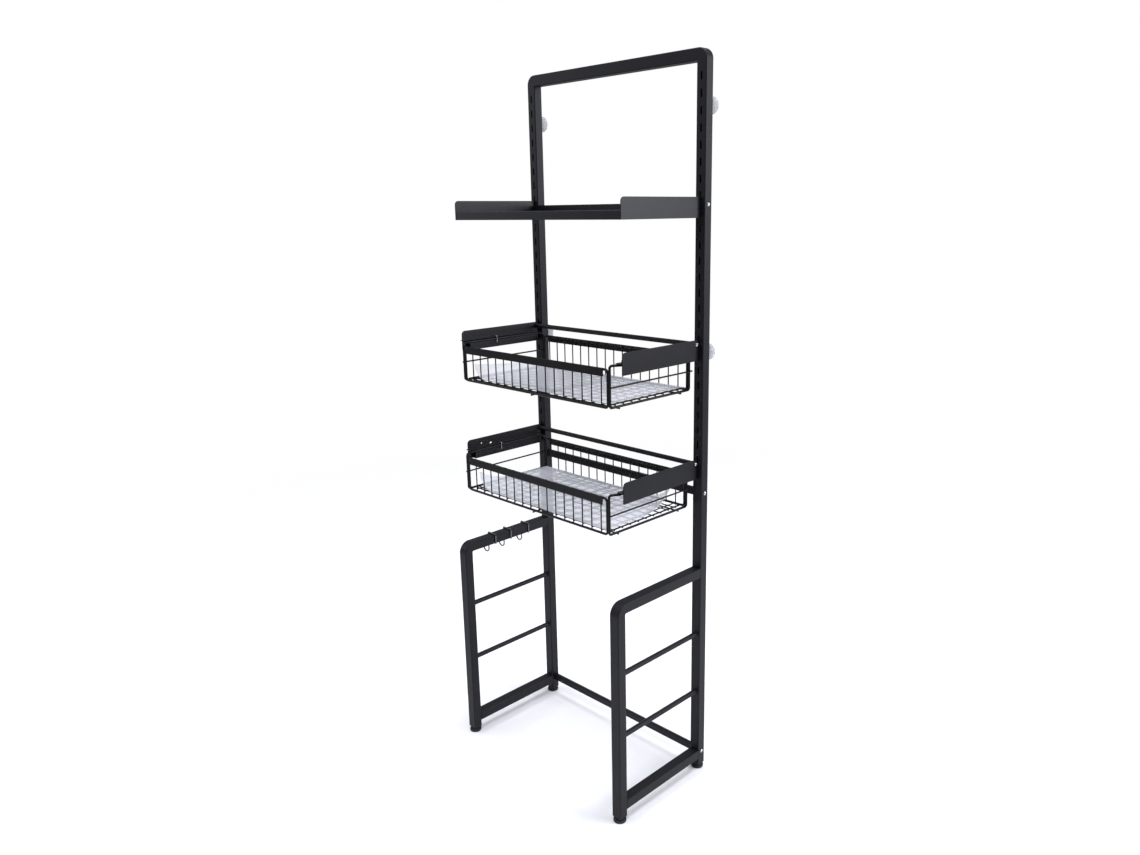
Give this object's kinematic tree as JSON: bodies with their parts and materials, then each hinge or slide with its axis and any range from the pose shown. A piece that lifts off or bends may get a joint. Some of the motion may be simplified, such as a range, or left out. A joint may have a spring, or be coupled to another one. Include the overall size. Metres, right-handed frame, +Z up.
{
  "type": "over-toilet storage rack",
  "caption": "Freestanding steel rack that straddles a toilet, with a top shelf, pull-out wire baskets, side rungs and S-hooks.",
  "frame": {"origin": "the middle of the whole rack's footprint, hooks and suction cups included, at floor level", "axes": "+Z up; the front is -Y and the baskets pull out along -Y; +X is to the right seen from the front"},
  "size_m": [0.6324, 0.3415, 1.794],
  "materials": {
    "black_coat": "satin charcoal black powder coat",
    "bright_wire": "bright plated wire",
    "bright_screws": "bright plated steel",
    "zinc_steel": "zinc plated steel",
    "black_plastic": "black moulded plastic",
    "clear_vinyl": "clear soft vinyl",
    "frosted_liner": "frosted translucent sheet"
  },
  "bodies": {
    "frame": {"bottom_rail_left": "black_coat", "bottom_rail_right": "black_coat", "carrier_lower_guides": "black_coat", "carrier_lower_plate_left": "black_coat", "carrier_lower_plate_right": "black_coat", "carrier_lower_rear_bar": "black_coat", "carrier_lower_stops": "bright_screws", "carrier_upper_guides": "black_coat", "carrier_upper_plate_left": "black_coat", "carrier_upper_plate_right": "black_coat", "carrier_upper_rear_bar": "black_coat", "carrier_upper_stops": "bright_screws", "crossbar_lower": "black_coat", "crossbar_upper": "black_coat", "foot_plugs": "black_plastic", "front_leg_left": "black_coat", "front_leg_right": "black_coat", "joint_sleeves": "zinc_steel", "post_lower_left": "black_coat", "post_lower_right": "black_coat", "rungs": "black_coat", "screws": "bright_screws", "shelf_side_left": "black_coat", "shelf_side_right": "black_coat", "shelf_tray": "black_coat", "suction_cups": "clear_vinyl", "top_bar": "black_coat", "top_rail_left": "black_coat", "top_rail_right": "black_coat", "upright_upper_left": "black_coat", "upright_upper_right": "black_coat"},
    "basket_upper": {"basket_upper_bands": "black_coat", "basket_upper_cross_wires": "black_coat", "basket_upper_end_loops": "black_coat", "basket_upper_floor_wires": "black_coat", "basket_upper_liner": "frosted_liner", "basket_upper_side_loops": "black_coat", "basket_upper_side_wires": "black_coat", "basket_upper_support_wires": "black_coat", "basket_upper_upright_wires": "black_coat"},
    "basket_lower": {"basket_lower_bands": "black_coat", "basket_lower_cross_wires": "black_coat", "basket_lower_end_loops": "black_coat", "basket_lower_floor_wires": "black_coat", "basket_lower_liner": "frosted_liner", "basket_lower_side_loops": "black_coat", "basket_lower_side_wires": "black_coat", "basket_lower_support_wires": "black_coat", "basket_lower_upright_wires": "black_coat"},
    "pad_front_left": {"foot_pad_front_left": "black_plastic"},
    "pad_front_right": {"foot_pad_front_right": "black_plastic"},
    "pad_rear_left": {"foot_pad_rear_left": "black_plastic"},
    "pad_rear_right": {"foot_pad_rear_right": "black_plastic"},
    "stud_front_left": {"foot_stud_front_left": "zinc_steel"},
    "stud_front_right": {"foot_stud_front_right": "zinc_steel"},
    "stud_rear_left": {"foot_stud_rear_left": "zinc_steel"},
    "stud_rear_right": {"foot_stud_rear_right": "zinc_steel"},
    "hook_front": {"s_hook_front": "bright_wire"},
    "hook_middle": {"s_hook_middle": "bright_wire"},
    "hook_rear": {"s_hook_rear": "bright_wire"}
  },
  "joints": [
    {"name": "basket_upper_slide", "type": "slide", "parent": "frame", "child": "basket_upper", "axis": [0, -1, 0], "range_m": [0, 0.133]},
    {"name": "basket_lower_slide", "type": "slide", "parent": "frame", "child": "basket_lower", "axis": [0, -1, 0], "range_m": [0, 0.126]},
    {"name": "foot_front_left_travel", "type": "slide", "parent": "frame", "child": "pad_front_left", "axis": [0, 0, -1], "range_m": [0, 0.008]},
    {"name": "foot_front_left_turn", "type": "hinge", "parent": "pad_front_left", "child": "stud_front_left", "pos_m": [-0.27585, -0.15475, 0.02], "axis": [0, 0, -1], "range_deg": [0, 2310]},
    {"name": "foot_front_right_travel", "type": "slide", "parent": "frame", "child": "pad_front_right", "axis": [0, 0, -1], "range_m": [0, 0.008]},
    {"name": "foot_front_right_turn", "type": "hinge", "parent": "pad_front_right", "child": "stud_front_right", "pos_m": [0.29615, -0.15475, 0.02], "axis": [0, 0, -1], "range_deg": [0, 2310]},
    {"name": "foot_rear_left_travel", "type": "slide", "parent": "frame", "child": "pad_rear_left", "axis": [0, 0, -1], "range_m": [0, 0.008]},
    {"name": "foot_rear_left_turn", "type": "hinge", "parent": "pad_rear_left", "child": "stud_rear_left", "pos_m": [-0.27585, 0.14525, 0.02], "axis": [0, 0, -1], "range_deg": [0, 2310]},
    {"name": "foot_rear_right_travel", "type": "slide", "parent": "frame", "child": "pad_rear_right", "axis": [0, 0, -1], "range_m": [0, 0.008]},
    {"name": "foot_rear_right_turn", "type": "hinge", "parent": "pad_rear_right", "child": "stud_rear_right", "pos_m": [0.29615, 0.14525, 0.02], "axis": [0, 0, -1], "range_deg": [0, 2310]},
    {"name": "hook_front_slide", "type": "slide", "parent": "frame", "child": "hook_front", "axis": [0, 1, 0], "range_m": [-0.065, 0.025]},
    {"name": "hook_middle_slide", "type": "slide", "parent": "frame", "child": "hook_middle", "axis": [0, 1, 0], "range_m": [-0.025, 0.03]},
    {"name": "hook_rear_slide", "type": "slide", "parent": "frame", "child": "hook_rear", "axis": [0, 1, 0], "range_m": [-0.03, 0.06]}
  ],
  "couplings": [
    {"joint": "foot_front_left_turn", "follows": "foot_front_left_travel", "rad_per_m": 5026.5},
    {"joint": "foot_front_right_turn", "follows": "foot_front_right_travel", "rad_per_m": 5026.5},
    {"joint": "foot_rear_left_turn", "follows": "foot_rear_left_travel", "rad_per_m": 5026.5},
    {"joint": "foot_rear_right_turn", "follows": "foot_rear_right_travel", "rad_per_m": 5026.5}
  ]
}
